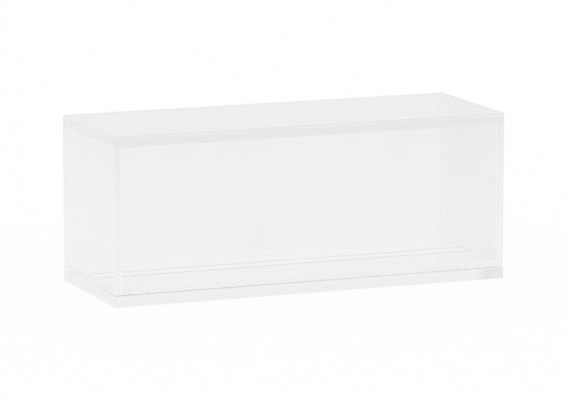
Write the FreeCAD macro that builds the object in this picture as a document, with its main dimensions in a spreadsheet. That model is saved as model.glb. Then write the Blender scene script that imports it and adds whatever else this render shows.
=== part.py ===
import FreeCAD, Part
import os
import Sketcher

# Clear display case for a model train. All sizes are in millimetres.
#
# A deep cover, open at the bottom, is cemented from five clear sheets. It stands on the rim of a base:
# a thick plate with a raised deck, which sits inside the cover and locates it. Two grooves along the
# deck take the flanges of a model's wheels.
#
# +X runs along the case, +Y from its front to its back and +Z up. The origin is at the middle of the
# underside, on the surface that the case stands on.

SIZES = [
    ("case_length", 300.0, "outside length of the case, along X"),
    ("case_depth", 110.0, "outside depth of the case, along Y"),
    ("case_height", 122.0, "outside height of the case, along Z"),
    ("wall_thickness", 5.0, "sheet of the four walls"),
    ("top_thickness", 8.0, "sheet of the top"),
    ("base_thickness", 8.0, "sheet of the base plate"),
    ("deck_thickness", 5.0, "sheet of the deck"),
    ("deck_clearance", 0.5, "play between the deck and the walls, each side"),
    ("seat_gap", 0.2, "air between the cover's edge and the rim that carries it"),
    ("groove_centres", 15.6, "distance between the two wheel grooves"),
    ("groove_width", 1.6, "width of a wheel groove"),
    ("groove_depth", 1.2, "depth of a wheel groove"),
    ("edge_break", 0.4, "polished chamfer on the outside edges"),
    ("deck_edge_break", 0.6, "chamfer that leads the cover over the deck"),
]

# Sizes that follow from the ones above
WALL_HEIGHT = "Sizes.case_height - Sizes.top_thickness - Sizes.base_thickness - Sizes.seat_gap"
WALL_FOOT = "Sizes.base_thickness + Sizes.seat_gap"
INNER_LENGTH = "Sizes.case_length - 2 * Sizes.wall_thickness"
INNER_DEPTH = "Sizes.case_depth - 2 * Sizes.wall_thickness"
DECK_LENGTH = INNER_LENGTH + " - 2 * Sizes.deck_clearance"
DECK_DEPTH = INNER_DEPTH + " - 2 * Sizes.deck_clearance"

# How far a groove's cutter runs past each end of the deck
CUTTER_OVERRUN = 2.0

# Two lengths that differ by less are taken as the same
TOLERANCE = 0.001

# A rectangle is drawn as this square, which its bound sizes then stretch
DRAWN_SQUARE = ((0.0, 0.0), (1.0, 0.0), (1.0, 1.0), (0.0, 1.0))

# A line's two ends, and the sketch's own origin, as constraints number them
START, END = 1, 2
SKETCH_ORIGIN = -1


def make_sizes(doc):
    """Fills the spreadsheet that drives every sub-part."""
    sheet = doc.addObject("Spreadsheet::Sheet", "Sizes")
    for row, (alias, value, note) in enumerate(SIZES, start=1):
        sheet.set(f"A{row}", alias)
        sheet.set(f"B{row}", str(value))
        sheet.setAlias(f"B{row}", alias)
        sheet.set(f"C{row}", note)
    doc.recompute()


def new_body(doc, name, x="0", y="0", z="0"):
    """A body whose label names its file, set in place by three expressions."""
    body = doc.addObject("PartDesign::Body", name)
    body.Label = name
    for axis, expression in (("x", x), ("y", y), ("z", z)):
        body.setExpression(f"Placement.Base.{axis}", expression)
    return body


def origin_plane(body, role):
    """One of the body's own three planes."""
    return next(plane for plane in body.Origin.OriginFeatures if plane.Role == role)


def new_sketch(body, name, role):
    """A sketch on one of the body's own planes."""
    sketch = body.newObject("Sketcher::SketchObject", name)
    sketch.AttachmentSupport = [(origin_plane(body, role), "")]
    sketch.MapMode = "FlatFace"
    return sketch


def draw_rectangle(sketch, across, upright, standing=False):
    """Draws a level rectangle with two bound sizes, centred on the origin or standing on it."""
    corners = [FreeCAD.Vector(x, y, 0) for x, y in DRAWN_SQUARE]
    bottom, right, top, left = (
        sketch.addGeometry(Part.LineSegment(corners[i], corners[(i + 1) % 4])) for i in range(4)
    )
    for line, next_line in ((bottom, right), (right, top), (top, left), (left, bottom)):
        sketch.addConstraint(Sketcher.Constraint("Coincident", line, END, next_line, START))
    for line in (bottom, top):
        sketch.addConstraint(Sketcher.Constraint("Horizontal", line))
    for line in (right, left):
        sketch.addConstraint(Sketcher.Constraint("Vertical", line))
    opposite = bottom if standing else right
    sketch.addConstraint(
        Sketcher.Constraint("Symmetric", bottom, START, opposite, END, SKETCH_ORIGIN, START)
    )
    bind_length(sketch, "across", "DistanceX", bottom, across)
    bind_length(sketch, "upright", "DistanceY", right, upright)


def bind_length(sketch, name, kind, line, expression):
    """Gives a line's length a name and an expression."""
    drawn_side = DRAWN_SQUARE[2][0]
    index = sketch.addConstraint(Sketcher.Constraint(kind, line, START, line, END, drawn_side))
    sketch.renameConstraint(index, name)
    sketch.setExpression(f"Constraints.{name}", expression)


def add_pad(body, sketch, thickness, outwards=True):
    """Pads a sheet of the named thickness along its sketch's normal, or against it."""
    pad = body.newObject("PartDesign::Pad", "Sheet")
    pad.Profile = sketch
    pad.setExpression("Length", thickness)
    pad.Reversed = not outwards
    body.Document.recompute()
    return pad


def edges_where(shape, wanted):
    """Names of the edges whose middle point passes a test."""
    return [
        f"Edge{number}"
        for number, edge in enumerate(shape.Edges, start=1)
        if wanted(edge.CenterOfMass)
    ]


def break_edges(body, feature, size, wanted):
    """Chamfers the edges that pass a test, and returns the chamfer."""
    chamfer = body.newObject("PartDesign::Chamfer", "BrokenEdges")
    chamfer.Base = (feature, edges_where(feature.Shape, wanted))
    chamfer.setExpression("Size", size)
    body.Document.recompute()
    return chamfer


def same(length, other):
    """Whether two lengths are the same."""
    return abs(length - other) < TOLERANCE


def make_flat_sheet(doc, name, length, depth, thickness, foot):
    """A level sheet, padded upwards from its underside."""
    body = new_body(doc, name, z=foot)
    sketch = new_sketch(body, "Outline", "XY_Plane")
    draw_rectangle(sketch, length, depth)
    return body, add_pad(body, sketch, thickness)


def make_top_panel(doc):
    """The thick top. It lies on all four walls, and its upper and corner edges are broken."""
    body, pad = make_flat_sheet(
        doc,
        "top_panel",
        "Sizes.case_length",
        "Sizes.case_depth",
        "Sizes.top_thickness",
        "Sizes.case_height - Sizes.top_thickness",
    )
    underside = pad.Shape.BoundBox.ZMin
    break_edges(body, pad, "Sizes.edge_break", lambda p: not same(p.z, underside))
    return body


def make_end_panel(doc, name, side):
    """An end wall, as deep as the case. side is 1 at the right end and -1 at the left end."""
    inner_face = f"{side} * ({INNER_LENGTH}) / 2"
    body = new_body(doc, name, x=inner_face, z=WALL_FOOT)
    sketch = new_sketch(body, "Outline", "YZ_Plane")
    draw_rectangle(sketch, "Sizes.case_depth", WALL_HEIGHT, standing=True)
    pad = add_pad(body, sketch, "Sizes.wall_thickness", outwards=side > 0)
    box = pad.Shape.BoundBox
    inner_x, outer_x = (box.XMin, box.XMax) if side > 0 else (box.XMax, box.XMin)

    def exposed(p):
        on_outside = same(p.x, outer_x) and not same(p.z, box.ZMax)
        return on_outside or (same(p.z, box.ZMin) and not same(p.x, inner_x))

    break_edges(body, pad, "Sizes.edge_break", exposed)
    return body


def make_long_panel(doc, name, side):
    """A wall between the two end panels. side is 1 at the back and -1 at the front."""
    inner_face = f"{side} * ({INNER_DEPTH}) / 2"
    body = new_body(doc, name, y=inner_face, z=WALL_FOOT)
    sketch = new_sketch(body, "Outline", "XZ_Plane")
    draw_rectangle(sketch, INNER_LENGTH, WALL_HEIGHT, standing=True)
    pad = add_pad(body, sketch, "Sizes.wall_thickness", outwards=side < 0)
    box = pad.Shape.BoundBox
    outer_y = box.YMax if side > 0 else box.YMin
    break_edges(
        body, pad, "Sizes.edge_break", lambda p: same(p.y, outer_y) and same(p.z, box.ZMin)
    )
    return body


def make_base_plate(doc):
    """The thick plate under everything, with all its edges broken."""
    body, pad = make_flat_sheet(
        doc,
        "base_plate",
        "Sizes.case_length",
        "Sizes.case_depth",
        "Sizes.base_thickness",
        "0",
    )
    break_edges(body, pad, "Sizes.edge_break", lambda p: True)
    return body


def make_deck(doc):
    """The raised deck. Its upper and corner edges are broken, and two wheel grooves run along it."""
    body, pad = make_flat_sheet(
        doc, "deck", DECK_LENGTH, DECK_DEPTH, "Sizes.deck_thickness", "Sizes.base_thickness"
    )
    underside = pad.Shape.BoundBox.ZMin
    plain = break_edges(body, pad, "Sizes.deck_edge_break", lambda p: not same(p.z, underside))
    plain_volume = plain.Shape.Volume

    sketch = new_sketch(body, "GrooveOutline", "XY_Plane")
    sketch.setExpression("AttachmentOffset.Base.y", "Sizes.groove_centres / 2")
    sketch.setExpression("AttachmentOffset.Base.z", "Sizes.deck_thickness")
    cutter_length = f"{DECK_LENGTH} + 2 * {CUTTER_OVERRUN}"
    draw_rectangle(sketch, cutter_length, "Sizes.groove_width")
    groove = body.newObject("PartDesign::Pocket", "WheelGroove")
    groove.Profile = sketch
    groove.setExpression("Length", "Sizes.groove_depth")
    doc.recompute()

    both = body.newObject("PartDesign::Mirrored", "WheelGrooves")
    both.Originals = [groove]
    both.MirrorPlane = (origin_plane(body, "XZ_Plane"), [""])
    body.Tip = both
    doc.recompute()
    if not both.Shape.Volume < groove.Shape.Volume < plain_volume:
        raise RuntimeError("the wheel grooves cut nothing out of the deck")
    return body


def make_bodies(doc):
    """Every sub-part of the cover, then those of the base."""
    return [
        make_top_panel(doc),
        make_long_panel(doc, "front_panel", -1),
        make_long_panel(doc, "back_panel", 1),
        make_end_panel(doc, "left_panel", -1),
        make_end_panel(doc, "right_panel", 1),
        make_base_plate(doc),
        make_deck(doc),
    ]


def check_model(doc, bodies):
    """Stops if any object failed, or a sub-part isn't one sound solid."""
    failed = [item.Name for item in doc.Objects if {"Invalid", "Error"} & set(item.State)]
    if failed:
        raise RuntimeError(f"these objects failed: {failed}")
    for body in bodies:
        shape = body.Shape
        if shape.isNull() or not shape.isValid() or len(shape.Solids) != 1:
            raise RuntimeError(f"{body.Label} isn't one sound solid")


def export_bodies(bodies):
    """Writes each sub-part to its own file."""
    os.makedirs("parts", exist_ok=True)
    for body in bodies:
        body.Shape.exportStep(f"parts/{body.Label}.step")
        box = body.Shape.BoundBox
        print(
            f"{body.Label}: {box.XLength:.2f} x {box.YLength:.2f} x {box.ZLength:.2f} mm, "
            f"from z {box.ZMin:.2f} to {box.ZMax:.2f}, {body.Shape.Volume / 1000:.2f} cm3"
        )


def main():
    doc = FreeCAD.newDocument("display_case")
    make_sizes(doc)
    bodies = make_bodies(doc)
    doc.recompute()
    check_model(doc, bodies)
    export_bodies(bodies)


main()
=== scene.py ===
import math

import bmesh
import bpy
from bpy.props import FloatProperty, FloatVectorProperty, IntProperty, PointerProperty
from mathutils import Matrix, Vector


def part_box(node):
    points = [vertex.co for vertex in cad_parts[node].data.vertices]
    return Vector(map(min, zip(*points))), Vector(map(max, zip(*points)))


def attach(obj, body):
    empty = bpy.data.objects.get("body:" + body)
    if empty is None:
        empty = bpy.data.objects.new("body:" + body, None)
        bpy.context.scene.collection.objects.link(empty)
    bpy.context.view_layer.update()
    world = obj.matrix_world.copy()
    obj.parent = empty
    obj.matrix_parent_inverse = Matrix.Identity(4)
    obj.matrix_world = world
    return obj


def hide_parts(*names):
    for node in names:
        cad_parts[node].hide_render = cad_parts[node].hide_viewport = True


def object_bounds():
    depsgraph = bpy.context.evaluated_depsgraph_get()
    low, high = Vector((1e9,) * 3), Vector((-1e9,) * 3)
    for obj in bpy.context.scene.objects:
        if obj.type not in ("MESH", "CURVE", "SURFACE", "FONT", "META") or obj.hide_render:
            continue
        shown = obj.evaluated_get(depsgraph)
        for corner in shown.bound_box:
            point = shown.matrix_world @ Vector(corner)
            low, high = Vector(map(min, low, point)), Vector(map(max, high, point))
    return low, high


# A clear display case for a model train, dressed around its construction model. All sizes are in metres.
#
# The cover is five polished sheets, cemented edge to face. It stands on the rim of a thick base plate,
# round a deck that has two wheel grooves along it. +X runs along the case, +Y to its back and +Z up.

bl_info = {
    "name": "Clear Train Case",
    "version": (1, 0, 0),
    "blender": (4, 5, 0),
    "location": "View3D > Sidebar > Train Case",
    "description": "Adds a polished acrylic display case, piece by piece, and a plain studio",
    "category": "Add Mesh",
}

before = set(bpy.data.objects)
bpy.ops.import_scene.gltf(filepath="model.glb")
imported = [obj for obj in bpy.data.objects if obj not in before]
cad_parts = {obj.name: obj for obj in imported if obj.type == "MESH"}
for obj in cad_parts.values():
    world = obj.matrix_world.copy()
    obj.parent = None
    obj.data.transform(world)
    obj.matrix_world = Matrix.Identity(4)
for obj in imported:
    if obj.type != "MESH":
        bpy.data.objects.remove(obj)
CAD_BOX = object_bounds()
CASE_ENDS = (CAD_BOX[0][0], CAD_BOX[1][0])
CASE_SIDES = (CAD_BOX[0][1], CAD_BOX[1][1])

MM = 0.001

# Two lengths that differ by less are taken as the same
TOLERANCE = 0.01 * MM

# A face looks along an axis when its normal has at least this part along it. Rounded edges have less.
SQUARE_ON = 0.999

# A face runs along an axis when its normal has less than this part along it
RUNS_ALONG = 0.1

# Coordinates are compared at this many decimals of a metre
DECIMALS = 6

# The roundings next to a seat lie nearer to it than this
SEAT_REACH = 1.0 * MM

# How far a cutter runs past the deck
OVERRUN = 2.0 * MM

# A tint that takes no light
CLEAR = (1.0, 1.0, 1.0)

# Shares of a tint along a sheet, as (place, share). Where no other way is named, place 0 is the sheet's
# lower face and place 1 its upper face.

# The front and the back are a little greyer towards the top. The ends are palest at a third of their
# height, and greyest at the top.
WALL_TONES = ((0.0, 1.0), (0.5, 1.0), (0.8, 0.995), (1.0, 0.99))
END_TONES = ((0.0, 1.0), (0.3, 1.012), (0.7, 1.0), (1.0, 0.98))

# The upright edges of the end walls are greyer over their upper half
UPRIGHT_TONES = ((0.0, 1.01), (0.62, 1.005), (0.74, 0.965), (1.0, 0.95))

# The top's long edges carry a painted reflection: they're darkest at half their height, where they mirror
# the dark inside of the sheet, and palest along the arris, a painted highlight
TOP_EDGE_TONES = (
    (0.0, 1.04),
    (0.18, 1.025),
    (0.31, 0.955),
    (0.4, 0.92),
    (0.53, 0.89),
    (0.59, 0.985),
    (0.73, 1.03),
    (1.0, 1.08),
)

# The deck from its front edge to its back edge carries painted shade: it's greyer up to the rear wheel
# groove, and plain behind the wheel grooves
DECK_TONES = ((0.0, 0.95), (0.41, 0.95), (0.46, 1.0), (1.0, 1.0))

# The base plate's long edges from the left to the right, for light from outside: painted shade darkens the
# right end, where it stands in for the dark of its corner
BASE_LENGTH_TONES = ((0.0, 1.0), (0.93, 1.0), (0.955, 0.82), (1.0, 0.85))

# The dark line over the seat is dust and painted shade where the cover meets the base. From the left to the
# right: its painted shade is deepest at the left corner
SEAT_TONES = ((0.0, 0.6), (0.04, 0.6), (0.08, 1.05), (0.25, 0.8), (0.8, 1.3), (1.0, 1.1))

# The seat's line at an end, dust and painted shade where the wall meets the base, from the front to the
# back: it fades out
END_SEAT_TONES = ((0.0, 0.4), (0.25, 0.65), (0.5, 1.0), (1.0, 1.0))

# The studio's brightness, from the horizon (0.5) to overhead (1)
SKY_TONES = ((0.5, 1.0), (0.65, 1.0), (0.85, 0.9), (1.0, 0.85))

# Haze: how many clouds lie in a metre, and the noise's values at which one starts and is full
CLOUDS_PER_METRE = 30.0
HAZE_RANGE = (0.42, 0.72)

# Scratches of two wipes: how each wipe is turned about X, Y and Z, in radians, how many scratches lie in
# a metre along each, and the noise's values at which one starts and is full
WIPE_TURNS = ((0.5, 0.3, 0.5), (-0.9, -0.54, -0.9))
SCRATCHES_PER_METRE = (14.0, 900.0, 14.0)
SCRATCH_RANGE = (0.68, 0.76)

# Tool marks: how many lie in a metre along the tool's way (X) and across it, and the noise's values at
# which one starts and is full
MARKS_PER_METRE = (900.0, 30.0, 30.0)
MARK_RANGE = (0.3, 0.7)

# Tool marks take a roughness this share above and below its middle
MARK_SPREAD = 0.3

# The ways that a tool goes along an edge
LEVEL_WAY = (1.0, 1.0, 0.0)
UPRIGHT_WAY = (0.0, 0.0, 1.0)

# The floor's width, and how far it lies under the base plate
FLOOR_WIDTH = 12.0
FLOOR_DROP = 0.1 * MM

# The camera's sensor in millimetres, and the distances between which it sees
SENSOR_WIDTH = 36.0
SEEN_FROM = 0.05
SEEN_TO = 50.0

# Light crosses many faces on its way through the case, and a path that's cut short turns black
LIGHT_PATHS = 512
CLEAR_PATHS = 32


def length_setting(name, size, description):
    """A setting that holds a length."""
    return FloatProperty(
        name=name, description=description, default=size, min=0.0, precision=5, unit="LENGTH"
    )


def tint_setting(name, share, description):
    """A setting that holds the share of light that a surface lets through, in red, green and blue."""
    return FloatVectorProperty(
        name=name, description=description, default=(share, share, share), size=3, subtype="COLOR"
    )


def share_setting(name, share, description):
    """A setting between 0 and 1."""
    return FloatProperty(
        name=name, description=description, default=share, min=0.0, max=1.0, subtype="FACTOR"
    )


class TRAINCASE_PG_sheets(bpy.types.PropertyGroup):
    """Sizes that belong to the finish of the sheets"""

    edge_round: length_setting("Edge Round", 0.2 * MM, "Radius that polishing leaves on outside edges")
    foot_round: length_setting("Foot Round", 0.6 * MM, "Radius at the foot of the front and the back")
    end_foot_round: length_setting("End Foot Round", 0.42 * MM, "Radius at the foot of an end wall")
    rim_round: length_setting("Rim Round", 0.3 * MM, "Radius on the rim where the cover stands")
    deck_round: length_setting("Deck Round", 0.6 * MM, "Radius that leads the cover over the deck")
    lip_width: length_setting("Lip Width", 0.3 * MM, "Width of the eased strip beside a wheel groove")
    joint_gap: length_setting("Joint Gap", 0.04 * MM, "Hair gap that keeps two cemented faces apart")
    segments: IntProperty(
        name="Segments",
        description="Flat strips in a rounded edge",
        default=4,
        min=1,
    )
    lip_segments: IntProperty(
        name="Lip Segments",
        description="Flat strips in the eased lip of a wheel groove",
        default=2,
        min=1,
    )


class TRAINCASE_PG_acrylic(bpy.types.PropertyGroup):
    """Colours and polish of the clear acrylic"""

    wall_tint: tint_setting("Wall Tint", 0.938, "Light that the front and the back let through")
    end_tint: tint_setting("End Tint", 0.909, "Light that an end wall lets through")
    top_tint: tint_setting("Top Tint", 0.797, "Light that the top lets through")
    base_tint: tint_setting("Base Tint", 0.998, "Light that the base plate lets through")
    deck_tint: tint_setting("Deck Tint", 0.998, "Light that the deck lets through")
    top_edge_tint: tint_setting("Top Edge Tint", 0.797, "Light that the top's edges let through")
    upright_tint: tint_setting("Upright Tint", 0.86, "Light that the upright edges let through")
    base_edge_tint: tint_setting("Base Edge Tint", 0.872, "Light that the base's long edges let through")
    base_end_tint: tint_setting("Base End Tint", 0.848, "Light that the base's ends let through")
    deck_edge_tint: tint_setting("Deck Edge Tint", 0.985, "Light that the deck's edges let through")
    foot_tint: tint_setting("Foot Tint", 0.9, "Light that the feet of the front and the back let through")
    # The seat's tint is dust and painted shade at the contact line
    seat_tint: tint_setting("Seat Tint", 0.45, "Light that the dark line over the seat lets through")
    # The long rim's tint is dust and painted shade under the seat
    long_rim_tint: tint_setting("Long Rim Tint", 0.75, "Light that the base's long rims let through")
    # The grooves' lips carry painted shade
    groove_tint: tint_setting("Groove Tint", 0.1, "Light that the lips of the grooves let through")
    polish: share_setting("Polish", 0.004, "Roughness of the polished faces")
    hazed_polish: share_setting("Hazed Polish", 0.03, "Roughness where a face is hazed")
    haze_depth: share_setting("Haze Depth", 0.008, "Light that haze takes on a polished face")
    mark_depth: share_setting("Mark Depth", 0.002, "Light that tool marks take on an edge")
    edge_buff: share_setting("Edge Buff", 0.05, "Roughness of the buffed edges")
    seat_matt: share_setting("Seat Matt", 0.2, "Roughness of the edges that rub at the seat")
    groove_matt: share_setting("Groove Matt", 0.1, "Roughness of the lips of the grooves")
    scratch_bump: share_setting("Scratch Bump", 0.05, "Strength of the hairline scratches")
    mark_bump: share_setting("Mark Bump", 0.1, "Strength of the tool marks")
    bump_depth: length_setting("Bump Depth", 0.01 * MM, "Depth of a scratch or a tool mark")
    refraction: FloatProperty(
        name="Refractive Index",
        description="Refractive index of cast acrylic",
        default=1.49,
        min=1.0,
    )
    eased_refraction: FloatProperty(
        name="Eased Refractive Index",
        description="Refractive index of cement, and of roundings too small to mirror their surroundings",
        default=1.05,
        min=1.0,
    )


class TRAINCASE_PG_studio(bpy.types.PropertyGroup):
    """Where the camera stands, and how bright the studio is"""

    camera_place: FloatVectorProperty(
        name="Camera Place",
        description="Where the camera stands",
        default=(-1.1047, -2.7405, 0.5664),
        size=3,
        subtype="XYZ",
        unit="LENGTH",
    )
    camera_turn: FloatProperty(
        name="Camera Turn",
        description="How far the camera is turned from +Y towards +X",
        default=math.radians(21.97),
        subtype="ANGLE",
    )
    camera_tilt: FloatProperty(
        name="Camera Tilt",
        description="How far the camera looks down",
        default=math.radians(9.75),
        subtype="ANGLE",
    )
    lens: FloatProperty(
        name="Lens",
        description="Focal length in millimetres, on a sensor 36 mm wide",
        default=260.95,
        unit="CAMERA",
    )
    backdrop_share: share_setting("Backdrop Share", 0.95, "Share of the floor's look that's plain white")


class TRAINCASE_PG_settings(bpy.types.PropertyGroup):
    """All settings of the case"""

    sheets: PointerProperty(type=TRAINCASE_PG_sheets)
    acrylic: PointerProperty(type=TRAINCASE_PG_acrylic)
    studio: PointerProperty(type=TRAINCASE_PG_studio)


# Making and cutting sheets


def same(length, other):
    """Whether two lengths are the same."""
    return abs(length - other) < TOLERANCE


def deselect_all():
    """Leaves nothing selected."""
    bpy.ops.object.select_all(action="DESELECT")


def add_block(name, low, high):
    """A block from its lowest corner to its highest, with its place in its mesh."""
    low, high = Vector(low), Vector(high)
    deselect_all()
    bpy.ops.mesh.primitive_cube_add(size=1.0, location=(low + high) / 2, scale=high - low)
    block = bpy.context.active_object
    block.name = name
    block.data.name = name
    bpy.ops.object.transform_apply(location=True, rotation=True, scale=True)
    return block


def round_edges(block, radius, segments, wanted):
    """Rounds the edges whose middle point passes a test."""
    bpy.ops.object.mode_set(mode="EDIT")
    bpy.ops.mesh.select_mode(type="EDGE")
    bpy.ops.mesh.select_all(action="DESELECT")
    mesh = bmesh.from_edit_mesh(block.data)
    for edge in mesh.edges:
        edge.select_set(wanted((edge.verts[0].co + edge.verts[1].co) / 2))
    mesh.select_flush(False)
    bmesh.update_edit_mesh(block.data)
    bpy.ops.mesh.bevel(offset=radius, segments=segments, affect="EDGES")
    bpy.ops.object.mode_set(mode="OBJECT")


def inset_upper_face(block, distance):
    """Draws an outline on a block's upper face, a distance inside that face's edges."""
    bpy.ops.object.mode_set(mode="EDIT")
    bpy.ops.mesh.select_mode(type="FACE")
    bpy.ops.mesh.select_all(action="DESELECT")
    mesh = bmesh.from_edit_mesh(block.data)
    for face in mesh.faces:
        face.select_set(face.normal.z > SQUARE_ON)
    bmesh.update_edit_mesh(block.data)
    bpy.ops.mesh.inset(thickness=distance)
    bpy.ops.object.mode_set(mode="OBJECT")


def cut_out(block, cutter):
    """Takes the cutter's shape out of a block."""
    deselect_all()
    bpy.context.view_layer.objects.active = block
    block.select_set(True)
    bpy.ops.object.modifier_add(type="BOOLEAN")
    cut = block.modifiers[-1]
    cut.operation = "DIFFERENCE"
    cut.solver = "EXACT"
    cut.object = cutter
    bpy.ops.object.modifier_apply(modifier=cut.name)
    bpy.data.objects.remove(cutter)


def is_closed(piece):
    """Whether a piece's mesh is closed, with its faces outwards."""
    mesh = bmesh.new()
    mesh.from_mesh(piece.data)
    closed = all(edge.is_manifold for edge in mesh.edges) and mesh.calc_volume(signed=True) > 0
    mesh.free()
    return closed


def finish_piece(piece, node, body):
    """Checks that a piece is closed, hides the node that it stands for, and says what it moves with."""
    if not is_closed(piece):
        raise RuntimeError(f"{piece.name} isn't closed")
    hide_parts(node)
    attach(piece, body)


# Tests for faces. Each is given the face's middle point and its normal.


def looks_up(point, normal):
    """Whether a face looks straight up."""
    return normal.z > SQUARE_ON


def looks_down(point, normal):
    """Whether a face looks straight down."""
    return normal.z < -SQUARE_ON


def looks_along_x(point, normal):
    """Whether a face looks to the left or the right."""
    return abs(normal.x) > SQUARE_ON


def looks_along_y(point, normal):
    """Whether a face looks to the front or the back."""
    return abs(normal.y) > SQUARE_ON


def is_upright(point, normal):
    """Whether a face stands upright, flat or rounded."""
    return abs(normal.z) < RUNS_ALONG


def is_rounded(point, normal):
    """Whether a face is a strip or a corner of a rounded edge."""
    return max(abs(part) for part in normal) < SQUARE_ON


def is_upright_rounding(point, normal):
    """Whether a face lies on a rounding that stands upright."""
    return is_rounded(point, normal) and is_upright(point, normal)


def is_long_rounding(point, normal):
    """Whether a face lies on a rounding that runs along the case."""
    return is_rounded(point, normal) and abs(normal.x) < RUNS_ALONG


def at_level(test, level):
    """The same test, for faces next to a seat's level alone."""
    return lambda point, normal: test(point, normal) and abs(point.z - level) < SEAT_REACH


def give_materials(piece, broad, others):
    """Gives a piece the material of its broad faces, and others to the faces that pass a test."""
    piece.data.materials.clear()
    piece.data.materials.append(broad)
    for material, wanted in others:
        piece.data.materials.append(material)
        slot = len(piece.data.materials) - 1
        for face in piece.data.polygons:
            if wanted(face.center, face.normal):
                face.material_index = slot


# Building node trees


def add_node(tree, kind, place, **settings):
    """A node of a kind, with its settings, at a place in the tree's window."""
    node = tree.nodes.new(kind)
    node.location = place
    for name, value in settings.items():
        setattr(node, name, value)
    return node


def feed(tree, socket, value):
    """Links an output to a socket, or sets a number or a colour on it."""
    if isinstance(value, bpy.types.NodeSocket):
        tree.links.new(value, socket)
    elif isinstance(value, float):
        socket.default_value = value
    elif len(socket.default_value) > len(value):
        socket.default_value = (*value, 1.0)
    else:
        socket.default_value = tuple(value)


def add_range(tree, place, value, from_ends=(0.0, 1.0), to_ends=(0.0, 1.0), **settings):
    """A value moved from one range to another."""
    spread = add_node(tree, "ShaderNodeMapRange", place, **settings)
    spread.inputs["From Min"].default_value = from_ends[0]
    spread.inputs["From Max"].default_value = from_ends[1]
    spread.inputs["To Min"].default_value = to_ends[0]
    spread.inputs["To Max"].default_value = to_ends[1]
    tree.links.new(value, spread.inputs["Value"])
    return spread.outputs[0]


def mix_by(tree, place, factor, low, high, kind="RGBA"):
    """Goes from low to high with a factor. They're outputs, colours or numbers."""
    mix = add_node(tree, "ShaderNodeMix", place, data_type=kind)
    tree.links.new(factor, mix.inputs["Factor"])
    feed(tree, mix.inputs["A"], low)
    feed(tree, mix.inputs["B"], high)
    return mix.outputs["Result"]


def from_outside(tree, place, outside, inside, kind="RGBA"):
    """One thing for light that meets a face from outside, and another for light in the acrylic."""
    side = add_node(tree, "ShaderNodeNewGeometry", (place[0] - 200, place[1] - 150))
    return mix_by(tree, place, side.outputs["Backfacing"], outside, inside, kind)


def fill_ramp(ramp, stops, tint):
    """Gives a colour ramp its stops of (place, share), each share weighting a tint."""
    elements = ramp.color_ramp.elements
    while len(elements) < len(stops):
        elements.new(0.5)
    for element, (place, share) in zip(elements, stops):
        element.position = place
        element.color = (*(share * part for part in tint), 1.0)


def toned(tree, place, position, tint, tones):
    """A tint that tones may change along an axis. They're the axis, two coordinates on it and the stops."""
    if tones is None:
        return tint
    axis, ends, stops = tones
    axes = add_node(tree, "ShaderNodeSeparateXYZ", (place[0] - 400, place[1]))
    tree.links.new(position, axes.inputs[0])
    along = add_range(tree, (place[0] - 200, place[1]), axes.outputs[axis], ends)
    ramp = add_node(tree, "ShaderNodeValToRGB", place)
    fill_ramp(ramp, stops, tint)
    tree.links.new(along, ramp.inputs[0])
    return ramp.outputs[0]


# Effects that several materials share


def new_group(name, size, output):
    """A shader node group that turns a vector and a size into one mask."""
    group = bpy.data.node_groups.new(name, "ShaderNodeTree")
    group.interface.new_socket("Vector", in_out="INPUT", socket_type="NodeSocketVector")
    made = group.interface.new_socket("Size", in_out="INPUT", socket_type="NodeSocketFloat")
    made.default_value = size
    group.interface.new_socket(output, in_out="OUTPUT", socket_type="NodeSocketFloat")
    start = add_node(group, "NodeGroupInput", (-900, 0))
    end = add_node(group, "NodeGroupOutput", (600, 0))
    return group, start, end


def haze_group():
    """Soft clouds where a face has been wiped or touched."""
    name = "wiped_haze"
    if name in bpy.data.node_groups:
        return bpy.data.node_groups[name]
    group, start, end = new_group(name, CLOUDS_PER_METRE, "Haze")
    clouds = add_node(group, "ShaderNodeTexNoise", (-600, 0))
    clouds.inputs["Detail"].default_value = 4.0
    clouds.inputs["Roughness"].default_value = 0.6
    clouds.inputs["Distortion"].default_value = 0.4
    group.links.new(start.outputs["Vector"], clouds.inputs["Vector"])
    group.links.new(start.outputs["Size"], clouds.inputs["Scale"])
    haze = add_range(
        group, (-300, 0), clouds.outputs[0], HAZE_RANGE, interpolation_type="SMOOTHSTEP"
    )
    group.links.new(haze, end.inputs["Haze"])
    return group


def scratch_group():
    """Hairline scratches in two directions, from cleaning cloths."""
    name = "hairline_scratches"
    if name in bpy.data.node_groups:
        return bpy.data.node_groups[name]
    group, start, end = new_group(name, 1.0, "Scratches")
    both = add_node(group, "ShaderNodeMath", (100, 0), operation="MAXIMUM")
    for row, turn in enumerate(WIPE_TURNS):
        turned = add_node(group, "ShaderNodeMapping", (-600, -300 * row))
        turned.inputs["Rotation"].default_value = turn
        turned.inputs["Scale"].default_value = SCRATCHES_PER_METRE
        group.links.new(start.outputs["Vector"], turned.inputs["Vector"])
        streaks = add_node(group, "ShaderNodeTexNoise", (-400, -300 * row))
        streaks.inputs["Detail"].default_value = 2.0
        group.links.new(turned.outputs[0], streaks.inputs["Vector"])
        group.links.new(start.outputs["Size"], streaks.inputs["Scale"])
        lines = add_range(group, (-200, -300 * row), streaks.outputs[0], SCRATCH_RANGE)
        group.links.new(lines, both.inputs[row])
    group.links.new(both.outputs[0], end.inputs["Scratches"])
    return group


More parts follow.
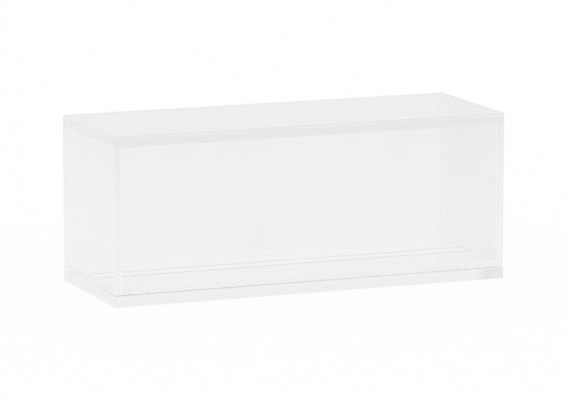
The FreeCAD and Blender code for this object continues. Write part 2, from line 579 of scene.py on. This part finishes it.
def tool_mark_group():
    """Close, uneven marks that lie across the way a tool went, which is the vector's X."""
    name = "tool_marks"
    if name in bpy.data.node_groups:
        return bpy.data.node_groups[name]
    group, start, end = new_group(name, 1.0, "Marks")
    stretched = add_node(group, "ShaderNodeMapping", (-600, 0))
    stretched.inputs["Scale"].default_value = MARKS_PER_METRE
    group.links.new(start.outputs["Vector"], stretched.inputs["Vector"])
    marks = add_node(group, "ShaderNodeTexNoise", (-400, 0))
    marks.inputs["Detail"].default_value = 3.0
    group.links.new(stretched.outputs[0], marks.inputs["Vector"])
    group.links.new(start.outputs["Size"], marks.inputs["Scale"])
    lines = add_range(group, (-200, 0), marks.outputs[0], MARK_RANGE)
    group.links.new(lines, end.inputs["Marks"])
    return group


def use_group(tree, group, place, vector):
    """The mask that a group makes from a vector."""
    node = add_node(tree, "ShaderNodeGroup", place, node_tree=group)
    tree.links.new(vector, node.inputs["Vector"])
    return node.outputs[0]


# Materials. Roughness and bump act on light from outside alone, because light that is already in the
# acrylic meets each face many times, and would be scattered until it is lost.


def new_acrylic(name, refraction):
    """A material of clear acrylic: its node tree, its shader, and where a point is on the piece."""
    material = bpy.data.materials.new(name)
    material.use_nodes = True
    tree = material.node_tree
    shader = tree.nodes["Principled BSDF"]
    shader.inputs["IOR"].default_value = refraction
    shader.inputs["Transmission Weight"].default_value = 1.0
    position = add_node(tree, "ShaderNodeTexCoord", (-1300, 0)).outputs["Object"]
    return material, tree, shader, position


def feed_colour(tree, shader, colour, wear, depth):
    """Gives the shader a colour, which a mask of wear dulls by up to a depth."""
    dull = add_range(tree, (-500, 100), wear, (0.0, 1.0), (1.0, 1.0 - depth))
    dulled = add_node(tree, "ShaderNodeVectorMath", (-250, 250), operation="SCALE")
    feed(tree, dulled.inputs[0], colour)
    tree.links.new(dull, dulled.inputs["Scale"])
    tree.links.new(dulled.outputs[0], shader.inputs["Base Color"])


def feed_roughness(tree, shader, wear, least, most):
    """Lets a mask of wear choose the roughness that light from outside meets."""
    rough = add_range(tree, (-500, -150), wear, (0.0, 1.0), (least, most))
    rough = from_outside(tree, (-250, -100), rough, 0.0, "FLOAT")
    tree.links.new(rough, shader.inputs["Roughness"])


def feed_bump(tree, shader, height, strength, depth):
    """Lets a mask move the shader's normal, for light from outside."""
    bump = add_node(tree, "ShaderNodeBump", (-250, -400))
    bump.inputs["Distance"].default_value = depth
    strength = from_outside(tree, (-450, -450), strength, 0.0, "FLOAT")
    tree.links.new(strength, bump.inputs["Strength"])
    tree.links.new(height, bump.inputs["Height"])
    tree.links.new(bump.outputs[0], shader.inputs["Normal"])


def feed_tool_marks(tree, shader, settings, colour, marks, roughness):
    """Gives the shader a colour and a roughness that tool marks make uneven, and their bump."""
    feed_colour(tree, shader, colour, marks, settings.mark_depth)
    smoother, rougher = (1.0 - MARK_SPREAD) * roughness, (1.0 + MARK_SPREAD) * roughness
    feed_roughness(tree, shader, marks, smoother, rougher)
    feed_bump(tree, shader, marks, settings.mark_bump, settings.bump_depth)


def polished_material(name, tint, settings, tones=None):
    """A broad polished face, with faint haze and hairline scratches."""
    if name in bpy.data.materials:
        return bpy.data.materials[name]
    material, tree, shader, position = new_acrylic(name, settings.refraction)
    haze = use_group(tree, haze_group(), (-800, 0), position)
    scratches = use_group(tree, scratch_group(), (-800, -300), position)
    colour = toned(tree, (-700, 350), position, tint, tones)
    feed_colour(tree, shader, colour, haze, settings.haze_depth)
    feed_roughness(tree, shader, haze, settings.polish, settings.hazed_polish)
    feed_bump(tree, shader, scratches, settings.scratch_bump, settings.bump_depth)
    return material


def buffed_material(name, tint, way, settings, tones=None, outside_tones=None):
    """A sawn and buffed edge, with tool marks along way. Light from outside may meet tones of its own."""
    if name in bpy.data.materials:
        return bpy.data.materials[name]
    material, tree, shader, position = new_acrylic(name, settings.refraction)
    along = add_node(tree, "ShaderNodeVectorMath", (-1100, -200), operation="DOT_PRODUCT")
    along.inputs[1].default_value = way
    tree.links.new(position, along.inputs[0])
    line = add_node(tree, "ShaderNodeCombineXYZ", (-950, -200))
    tree.links.new(along.outputs["Value"], line.inputs["X"])
    marks = use_group(tree, tool_mark_group(), (-800, -200), line.outputs[0])
    colour = toned(tree, (-700, 350), position, tint, tones)
    if outside_tones:
        outside = toned(tree, (-700, 600), position, tint, outside_tones)
        colour = from_outside(tree, (-450, 500), outside, colour)
    feed_tool_marks(tree, shader, settings, colour, marks, settings.edge_buff)
    return material


def small_material(name, tint, roughness, settings, tones=None, inside=CLEAR, eased=False):
    """A small worked surface. It may take one tint for light from outside and another from inside."""
    if name in bpy.data.materials:
        return bpy.data.materials[name]
    refraction = settings.eased_refraction if eased else settings.refraction
    material, tree, shader, position = new_acrylic(name, refraction)
    marks = use_group(tree, tool_mark_group(), (-800, -200), position)
    colour = toned(tree, (-700, 350), position, tint, tones)
    if tones or tuple(tint) != tuple(inside):
        colour = from_outside(tree, (-450, 300), colour, inside)
    feed_tool_marks(tree, shader, settings, colour, marks, roughness)
    return material


def eased_arris(settings):
    """The rounded edges of the sheets."""
    return small_material("eased_arris", CLEAR, settings.polish, settings, eased=True)


def cemented_joint(settings):
    """Where the walls and the top are cemented together."""
    return polished_material("cemented_joint", CLEAR, settings)


def cemented_deck(settings):
    """Where the deck is cemented on the base plate: light goes straight on from one to the other."""
    return small_material("cemented_deck", CLEAR, settings.polish, settings, eased=True)


def dark_seat(settings):
    """The rounded foot of the front and the back, which is the dark line over the seat: dust and painted
    shade where the cover meets the base.
    """
    tones = ("X", CASE_ENDS, SEAT_TONES)
    return small_material(
        "dark_seat", settings.seat_tint, settings.seat_matt, settings, tones, eased=True
    )


def end_seat(settings):
    """The rounded foot of an end wall, where the seat's line of dust and painted shade fades out towards
    the back.
    """
    tones = ("Y", CASE_SIDES, END_SEAT_TONES)
    return small_material("end_seat", CLEAR, settings.seat_matt, settings, tones, eased=True)


def end_rim(settings):
    """The rounded rim of the base plate, at the two ends."""
    return small_material("end_rim", CLEAR, settings.seat_matt, settings, eased=True)


def long_rim(settings):
    """The rounded rim of the base plate, in front and at the back. From outside it's darker, with dust and
    painted shade under the seat.
    """
    return small_material(
        "long_rim",
        settings.long_rim_tint,
        settings.seat_matt,
        settings,
        inside=settings.base_edge_tint,
        eased=True,
    )


# The pieces


class TRAINCASE_OT_top(bpy.types.Operator):
    """Add the thick clear top"""

    bl_idname = "train_case.add_top"
    bl_label = "Top"
    bl_options = {"REGISTER", "UNDO"}

    def execute(self, context):
        sheets = context.scene.train_case.sheets
        acrylic = context.scene.train_case.acrylic
        low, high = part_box("top_panel")
        sheet = add_block("top_sheet", low, high)
        round_edges(sheet, sheets.edge_round, sheets.segments, lambda p: not same(p.z, low.z))
        tint = acrylic.top_edge_tint
        broad = polished_material("polished_top", acrylic.top_tint, acrylic)
        # The long edges' tones are a painted reflection and highlight over the buffed finish
        tones = ("Z", (low.z, high.z), TOP_EDGE_TONES)
        long_edge = buffed_material("buffed_top_edge_painted_reflection", tint, LEVEL_WAY, acrylic, tones)
        end_edge = buffed_material("buffed_top_end", tint, LEVEL_WAY, acrylic)
        corner = small_material(
            "eased_top_corner", tint, acrylic.polish, acrylic, inside=tint, eased=True
        )
        give_materials(
            sheet,
            broad,
            (
                (long_edge, looks_along_y),
                (end_edge, looks_along_x),
                (eased_arris(acrylic), is_rounded),
                (corner, is_upright_rounding),
            ),
        )
        finish_piece(sheet, "top_panel", "cover")
        return {"FINISHED"}


class TRAINCASE_OT_long_walls(bpy.types.Operator):
    """Add the clear front and back, between the two end walls"""

    bl_idname = "train_case.add_long_walls"
    bl_label = "Front and Back"
    bl_options = {"REGISTER", "UNDO"}

    def execute(self, context):
        for node, name, side in (("front_panel", "front_sheet", -1), ("back_panel", "back_sheet", 1)):
            add_long_wall(context.scene.train_case, node, name, side)
        return {"FINISHED"}


def add_long_wall(settings, node, name, side):
    """A wall a hair gap clear of its three joints. side is 1 at the back and -1 at the front."""
    sheets, acrylic = settings.sheets, settings.acrylic
    low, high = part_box(node)
    gap = sheets.joint_gap
    outer = low.y if side < 0 else high.y
    sheet = add_block(name, (low.x + gap, low.y, low.z), (high.x - gap, high.y, high.z - gap))
    round_edges(
        sheet,
        sheets.foot_round,
        sheets.segments,
        lambda p: same(p.z, low.z) and same(p.y, outer),
    )
    tones = ("Z", (low.z, high.z), WALL_TONES)
    broad = polished_material("polished_walls", acrylic.wall_tint, acrylic, tones)
    foot = small_material("buffed_foot", acrylic.foot_tint, acrylic.edge_buff, acrylic)
    give_materials(
        sheet,
        broad,
        (
            (cemented_joint(acrylic), lambda p, n: not looks_along_y(p, n)),
            (foot, looks_down),
            (dark_seat(acrylic), is_rounded),
        ),
    )
    finish_piece(sheet, node, "cover")


class TRAINCASE_OT_end_walls(bpy.types.Operator):
    """Add the two clear end walls"""

    bl_idname = "train_case.add_end_walls"
    bl_label = "Ends"
    bl_options = {"REGISTER", "UNDO"}

    def execute(self, context):
        for node, name, side in (("left_panel", "left_sheet", -1), ("right_panel", "right_sheet", 1)):
            add_end_wall(context.scene.train_case, node, name, side)
        return {"FINISHED"}


def add_end_wall(settings, node, name, side):
    """An end wall, as deep as the case. side is 1 at the right end and -1 at the left end."""
    sheets, acrylic = settings.sheets, settings.acrylic
    low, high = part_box(node)
    outer, inner = (low.x, high.x) if side < 0 else (high.x, low.x)
    joint = high.z - sheets.joint_gap
    sheet = add_block(name, low, (high.x, high.y, joint))
    round_edges(
        sheet,
        sheets.edge_round,
        sheets.segments,
        lambda p: same(p.x, outer) and not same(p.z, joint) and not same(p.z, low.z),
    )
    round_edges(
        sheet,
        sheets.end_foot_round,
        sheets.segments,
        lambda p: same(p.z, low.z) and not same(p.x, inner),
    )
    levels = (low.z, high.z)
    broad = polished_material("polished_ends", acrylic.end_tint, acrylic, ("Z", levels, END_TONES))
    tones = ("Z", levels, UPRIGHT_TONES)
    upright = buffed_material("buffed_upright", acrylic.upright_tint, UPRIGHT_WAY, acrylic, tones)
    foot = small_material("buffed_end_foot", CLEAR, acrylic.edge_buff, acrylic)
    give_materials(
        sheet,
        broad,
        (
            (upright, looks_along_y),
            (cemented_joint(acrylic), looks_up),
            (foot, looks_down),
            (eased_arris(acrylic), is_rounded),
            (end_seat(acrylic), at_level(is_rounded, low.z)),
            (dark_seat(acrylic), at_level(is_long_rounding, low.z)),
        ),
    )
    finish_piece(sheet, node, "cover")


class TRAINCASE_OT_base(bpy.types.Operator):
    """Add the thick clear base plate"""

    bl_idname = "train_case.add_base"
    bl_label = "Base Plate"
    bl_options = {"REGISTER", "UNDO"}

    def execute(self, context):
        sheets = context.scene.train_case.sheets
        acrylic = context.scene.train_case.acrylic
        low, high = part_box("base_plate")
        deck_low, deck_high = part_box("deck")
        plate = add_block("base_slab", low, high)
        round_edges(plate, sheets.rim_round, sheets.segments, lambda p: same(p.z, high.z))
        round_edges(plate, sheets.edge_round, sheets.segments, lambda p: same(p.z, low.z))
        inset_upper_face(plate, deck_low.x - low.x - sheets.rim_round)
        broad = polished_material("polished_base", acrylic.base_tint, acrylic)
        # Light from outside meets painted shade at the right end of the long edges
        tones = ("X", CASE_ENDS, BASE_LENGTH_TONES)
        long_edge = buffed_material(
            "buffed_base_edge_painted_shade", acrylic.base_edge_tint, LEVEL_WAY, acrylic, outside_tones=tones
        )
        end_edge = buffed_material("buffed_base_end", acrylic.base_end_tint, LEVEL_WAY, acrylic)

        def is_under_deck(point, normal):
            inside = abs(point.x) < deck_high.x and abs(point.y) < deck_high.y
            return looks_up(point, normal) and inside

        give_materials(
            plate,
            broad,
            (
                (long_edge, looks_along_y),
                (end_edge, looks_along_x),
                (cemented_deck(acrylic), is_under_deck),
                (eased_arris(acrylic), is_rounded),
                (end_rim(acrylic), at_level(is_rounded, high.z)),
                (long_rim(acrylic), at_level(is_long_rounding, high.z)),
            ),
        )
        finish_piece(plate, "base_plate", "base")
        return {"FINISHED"}


def groove_places():
    """The grooves' floor level, and the y of each groove's two sides, read from the deck's node."""
    points = [vertex.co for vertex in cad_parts["deck"].data.vertices]
    levels = sorted({round(point.z, DECIMALS) for point in points})
    # The lowest level is the deck's underside, and the next one is the grooves' floor
    floor = levels[1]
    sides = sorted({round(point.y, DECIMALS) for point in points if same(point.z, floor)})
    if len(sides) != 4:
        raise RuntimeError(f"the deck has no two grooves: its floor has sides at {sides}")
    return floor, ((sides[0], sides[1]), (sides[2], sides[3]))


class TRAINCASE_OT_deck(bpy.types.Operator):
    """Add the raised deck with its two wheel grooves"""

    bl_idname = "train_case.add_deck"
    bl_label = "Deck"
    bl_options = {"REGISTER", "UNDO"}

    def execute(self, context):
        sheets = context.scene.train_case.sheets
        acrylic = context.scene.train_case.acrylic
        low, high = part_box("deck")
        joint = low.z + sheets.joint_gap
        deck = add_block("deck_sheet", (low.x, low.y, joint), high)
        round_edges(deck, sheets.deck_round, sheets.segments, lambda p: not same(p.z, joint))
        floor, grooves = groove_places()
        for near, far in grooves:
            cutter_low = (low.x - OVERRUN, near, floor)
            cutter_high = (high.x + OVERRUN, far, high.z + OVERRUN)
            cut_out(deck, add_block("groove_cutter", cutter_low, cutter_high))
        lips = [side for groove in grooves for side in groove]
        round_edges(
            deck,
            sheets.lip_width,
            sheets.lip_segments,
            lambda p: same(p.z, high.z) and any(same(p.y, lip) for lip in lips),
        )
        # The deck's tones are painted shade
        tones = ("Y", (low.y, high.y), DECK_TONES)
        broad = polished_material("polished_deck", acrylic.deck_tint, acrylic, tones)
        edge = small_material("buffed_deck_edge", acrylic.deck_edge_tint, acrylic.edge_buff, acrylic)
        side = small_material("groove_side", CLEAR, acrylic.edge_buff, acrylic)
        # The lips' near-black tint is painted shade, the dark lines that the grooves show. Their matt
        # roughness is the milling.
        lip = small_material(
            "milled_lip_painted_shade", acrylic.groove_tint, acrylic.groove_matt, acrylic, eased=True
        )
        reach = sheets.lip_width

        def in_groove(point, normal):
            across = any(near - reach < point.y < far + reach for near, far in grooves)
            return across and point.z > floor - TOLERANCE and not looks_along_x(point, normal)

        give_materials(
            deck,
            broad,
            (
                (eased_arris(acrylic), is_rounded),
                (edge, is_upright),
                (side, in_groove),
                (lip, lambda p, n: in_groove(p, n) and is_rounded(p, n)),
                (cemented_deck(acrylic), looks_down),
            ),
        )
        finish_piece(deck, "deck", "base")
        return {"FINISHED"}


# The studio


class TRAINCASE_OT_stage(bpy.types.Operator):
    """Add the camera, the floor and the studio's light"""

    bl_idname = "train_case.add_stage"
    bl_label = "Stage"
    bl_options = {"REGISTER", "UNDO"}

    def execute(self, context):
        scene = context.scene
        studio = scene.train_case.studio
        add_camera(scene, studio)
        add_floor(studio)
        add_world(scene)
        scene.view_settings.view_transform = "Standard"
        scene.cycles.max_bounces = LIGHT_PATHS
        scene.cycles.transmission_bounces = LIGHT_PATHS
        scene.cycles.glossy_bounces = LIGHT_PATHS
        scene.cycles.transparent_max_bounces = CLEAR_PATHS
        return {"FINISHED"}


def add_camera(scene, studio):
    """The camera at the photograph's viewpoint."""
    deselect_all()
    bpy.ops.object.camera_add(
        location=studio.camera_place,
        rotation=(math.radians(90) - studio.camera_tilt, 0.0, -studio.camera_turn),
    )
    camera = bpy.context.active_object
    camera.name = "camera"
    camera.data.lens = studio.lens
    camera.data.sensor_width = SENSOR_WIDTH
    camera.data.clip_start = SEEN_FROM
    camera.data.clip_end = SEEN_TO
    scene.camera = camera


def add_floor(studio):
    """A white floor, just under the base plate. It looks mostly plain, and keeps a faint shadow."""
    deselect_all()
    bpy.ops.mesh.primitive_plane_add(size=FLOOR_WIDTH, location=(0.0, 0.0, -FLOOR_DROP))
    floor = bpy.context.active_object
    floor.name = "floor"
    bpy.ops.object.transform_apply(location=True, rotation=True, scale=True)
    material = bpy.data.materials.new("floor_white")
    material.use_nodes = True
    tree = material.node_tree
    shaded = tree.nodes["Principled BSDF"]
    shaded.inputs["Base Color"].default_value = (1.0, 1.0, 1.0, 1.0)
    shaded.inputs["Roughness"].default_value = 1.0
    shaded.inputs["Specular IOR Level"].default_value = 0.0
    plain = add_node(tree, "ShaderNodeEmission", (0, -400))
    path = add_node(tree, "ShaderNodeLightPath", (-700, 300))
    through = add_node(tree, "ShaderNodeMath", (-500, 200), operation="MAXIMUM")
    tree.links.new(path.outputs["Is Glossy Ray"], through.inputs[0])
    tree.links.new(path.outputs["Is Transmission Ray"], through.inputs[1])
    seen = add_node(tree, "ShaderNodeMath", (-300, 300), operation="MAXIMUM")
    tree.links.new(path.outputs["Is Camera Ray"], seen.inputs[0])
    tree.links.new(through.outputs[0], seen.inputs[1])
    share = add_node(tree, "ShaderNodeMath", (-100, 300), operation="MULTIPLY")
    tree.links.new(seen.outputs[0], share.inputs[0])
    share.inputs[1].default_value = studio.backdrop_share
    mix = add_node(tree, "ShaderNodeMixShader", (200, 0))
    tree.links.new(share.outputs[0], mix.inputs[0])
    tree.links.new(shaded.outputs[0], mix.inputs[1])
    tree.links.new(plain.outputs[0], mix.inputs[2])
    tree.links.new(mix.outputs[0], tree.nodes["Material Output"].inputs["Surface"])
    floor.data.materials.append(material)


def add_world(scene):
    """Soft light from all sides, white at the horizon and a little greyer overhead."""
    world = bpy.data.worlds.new("studio")
    scene.world = world
    world.use_nodes = True
    tree = world.node_tree
    place = add_node(tree, "ShaderNodeTexCoord", (-900, 0))
    axes = add_node(tree, "ShaderNodeSeparateXYZ", (-700, 0))
    tree.links.new(place.outputs["Generated"], axes.inputs[0])
    height = add_range(tree, (-500, 0), axes.outputs["Z"], (-1.0, 1.0))
    ramp = add_node(tree, "ShaderNodeValToRGB", (-300, 0))
    fill_ramp(ramp, SKY_TONES, CLEAR)
    tree.links.new(height, ramp.inputs[0])
    tree.links.new(ramp.outputs[0], tree.nodes["Background"].inputs["Color"])


class TRAINCASE_PT_panel(bpy.types.Panel):
    """Lists the pieces of the case"""

    bl_idname = "TRAINCASE_PT_panel"
    bl_label = "Train Case"
    bl_space_type = "VIEW_3D"
    bl_region_type = "UI"
    bl_category = "Train Case"

    def draw(self, context):
        for step in STEPS:
            self.layout.operator(step.bl_idname)


STEPS = (
    TRAINCASE_OT_stage,
    TRAINCASE_OT_top,
    TRAINCASE_OT_long_walls,
    TRAINCASE_OT_end_walls,
    TRAINCASE_OT_base,
    TRAINCASE_OT_deck,
)

CLASSES = (
    TRAINCASE_PG_sheets,
    TRAINCASE_PG_acrylic,
    TRAINCASE_PG_studio,
    TRAINCASE_PG_settings,
    *STEPS,
    TRAINCASE_PT_panel,
)


def register():
    """Makes the settings, the operators and the panel known."""
    for made in CLASSES:
        bpy.utils.register_class(made)
    bpy.types.Scene.train_case = PointerProperty(type=TRAINCASE_PG_settings)


def unregister():
    """Takes them out again."""
    del bpy.types.Scene.train_case
    for made in reversed(CLASSES):
        bpy.utils.unregister_class(made)


def main():
    """Adds the stage and every piece, in order."""
    register()
    bpy.ops.train_case.add_stage()
    bpy.ops.train_case.add_top()
    bpy.ops.train_case.add_long_walls()
    bpy.ops.train_case.add_end_walls()
    bpy.ops.train_case.add_base()
    bpy.ops.train_case.add_deck()


if __name__ == "__main__":
    main()
